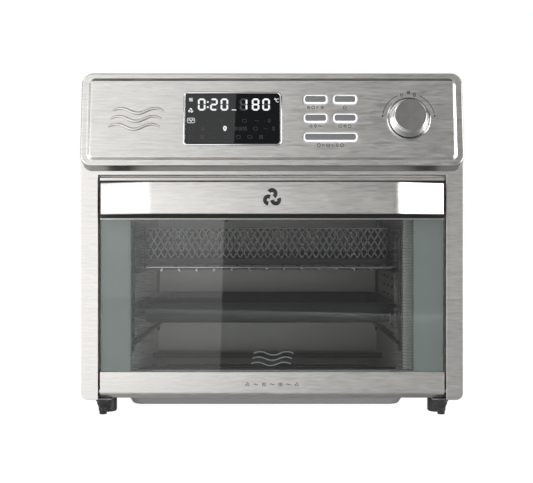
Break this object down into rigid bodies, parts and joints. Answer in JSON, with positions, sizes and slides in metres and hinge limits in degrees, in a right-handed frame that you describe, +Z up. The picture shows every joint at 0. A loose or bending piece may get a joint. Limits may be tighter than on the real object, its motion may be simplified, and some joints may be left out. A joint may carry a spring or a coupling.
{
  "type": "toaster oven",
  "caption": "Countertop convection toaster oven with drop-down glass door, tilted control fascia, display, buttons, knob, rack, crisper basket, pan and crumb tray.",
  "frame": {"origin": "bottom centre of the whole oven's box, on the worktop", "axes": "+X to the right seen from the front, +Y to the back, +Z up"},
  "size_m": [0.401, 0.379, 0.359],
  "materials": {
    "brushed_stainless": "horizontal brushed grain",
    "wrapper_steel": "satin sheet",
    "zinc_sheet": "zinc-plated sheet",
    "cavity_steel": "aluminised steel, satin",
    "chromed_wire": "chrome-plated wire",
    "element_sheath": "oxidised steel sheath",
    "ceramic_insulator": "unglazed",
    "motor_metal": "mill finish",
    "lamp_glass": "clear",
    "bright_trim": "polished chrome plating",
    "display_glass": "gloss black",
    "circuit_board": "solder mask",
    "black_plastic": "fine moulded texture",
    "screw_steel": "zinc-plated",
    "silicone_seal": "matte silicone",
    "door_glass": "tempered, grey tint",
    "dark_frame": "satin heat-proof paint",
    "basket_steel": "expanded steel",
    "pan_enamel": "dark non-stick coating",
    "tray_steel": "satin grey coating",
    "button_satin": "satin grey with plated edge",
    "knob_face": "circular spun"
  },
  "bodies": {
    "cabinet": {"front_frame": "brushed_stainless", "control_fascia": "brushed_stainless", "outer_wrapper": "wrapper_steel", "back_panel": "zinc_sheet", "base_plate": "zinc_sheet", "hinge_brackets": "zinc_sheet", "crumb_tray_runners": "zinc_sheet", "heat_shield": "zinc_sheet", "fan_housing": "zinc_sheet", "lamp_holder": "zinc_sheet", "oven_cavity": "cavity_steel", "fan_guard": "cavity_steel", "rack_rails_left": "chromed_wire", "rack_rails_right": "chromed_wire", "upper_heating_elements": "element_sheath", "lower_heating_elements": "element_sheath", "element_end_caps": "ceramic_insulator", "lamp_bulb": "ceramic_insulator", "fan_motor": "motor_metal", "fan_motor_standoffs": "motor_metal", "temperature_sensor": "motor_metal", "lamp_lens": "lamp_glass", "display_bezel": "bright_trim", "knob_ring": "bright_trim", "display_window": "display_glass", "control_board": "circuit_board", "power_board": "circuit_board", "encoder": "black_plastic", "thermal_cutout": "black_plastic", "cord_gland": "black_plastic", "rear_spacers": "black_plastic", "front_stop_feet": "black_plastic", "round_feet": "black_plastic", "foot_screws": "screw_steel", "back_screws": "screw_steel", "door_springs": "screw_steel", "door_seal": "silicone_seal"},
    "door": {"door_outer_glass": "door_glass", "door_inner_frame": "dark_frame", "door_bottom_trim": "brushed_stainless", "door_top_trim": "brushed_stainless", "handle_rail": "dark_frame", "door_handle": "brushed_stainless", "handle_standoffs": "black_plastic", "handle_screws": "screw_steel", "hinge_blocks": "black_plastic", "hinge_pins": "screw_steel"},
    "wire_rack": {"wire_rack": "chromed_wire"},
    "crisper_basket": {"crisper_basket": "basket_steel"},
    "baking_pan": {"baking_pan": "pan_enamel"},
    "crumb_tray": {"crumb_tray": "tray_steel"},
    "knob": {"knob_body": "bright_trim", "knob_cap": "knob_face", "encoder_shaft": "screw_steel"},
    "preheat_button": {"preheat_button": "button_satin"},
    "light_button": {"light_button": "button_satin"},
    "air_fry_button": {"air_fry_button": "button_satin"},
    "oven_button": {"oven_button": "button_satin"},
    "start_button": {"start_button": "button_satin"},
    "fan": {"fan_rotor": "motor_metal"}
  },
  "joints": [
    {"name": "door_hinge", "type": "hinge", "parent": "cabinet", "child": "door", "pos_m": [0, -0.1405, 0.0237], "axis": [1, 0, 0], "range_deg": [0, 80], "stiffness_Nm_per_rad": 0.9, "springref_deg": -28.65},
    {"name": "rack_slide", "type": "slide", "parent": "cabinet", "child": "wire_rack", "axis": [0, -1, 0], "range_m": [0, 0.13]},
    {"name": "basket_slide", "type": "slide", "parent": "cabinet", "child": "crisper_basket", "axis": [0, -1, 0], "range_m": [0, 0.13]},
    {"name": "pan_slide", "type": "slide", "parent": "cabinet", "child": "baking_pan", "axis": [0, -1, 0], "range_m": [0, 0.08]},
    {"name": "crumb_tray_slide", "type": "slide", "parent": "cabinet", "child": "crumb_tray", "axis": [0, -1, 0], "range_m": [0, 0.15]},
    {"name": "knob_turn", "type": "hinge", "parent": "cabinet", "child": "knob", "pos_m": [0.143, -0.1456, 0.30945], "axis": [0, -0.989, 0.1478], "continuous": true},
    {"name": "fan_spin", "type": "hinge", "parent": "cabinet", "child": "fan", "pos_m": [0.15, 0.0025, 0.1285], "axis": [1, 0, 0], "continuous": true},
    {"name": "preheat_press", "type": "slide", "parent": "cabinet", "child": "preheat_button", "axis": [0, 0.989, -0.1478], "range_m": [0, 0.0012], "stiffness_N_per_m": 800, "springref_m": -0.001},
    {"name": "light_press", "type": "slide", "parent": "cabinet", "child": "light_button", "axis": [0, 0.989, -0.1478], "range_m": [0, 0.0012], "stiffness_N_per_m": 800, "springref_m": -0.001},
    {"name": "air_fry_press", "type": "slide", "parent": "cabinet", "child": "air_fry_button", "axis": [0, 0.989, -0.1478], "range_m": [0, 0.0012], "stiffness_N_per_m": 800, "springref_m": -0.001},
    {"name": "oven_press", "type": "slide", "parent": "cabinet", "child": "oven_button", "axis": [0, 0.989, -0.1478], "range_m": [0, 0.0012], "stiffness_N_per_m": 800, "springref_m": -0.001},
    {"name": "start_press", "type": "slide", "parent": "cabinet", "child": "start_button", "axis": [0, 0.989, -0.1478], "range_m": [0, 0.0012], "stiffness_N_per_m": 800, "springref_m": -0.001}
  ],
  "couplings": [
    {"joint": "rack_slide", "follows": "door_hinge", "m_per_rad": 0.09},
    {"joint": "basket_slide", "follows": "door_hinge", "m_per_rad": 0.09},
    {"joint": "pan_slide", "follows": "door_hinge", "m_per_rad": 0.055}
  ]
}
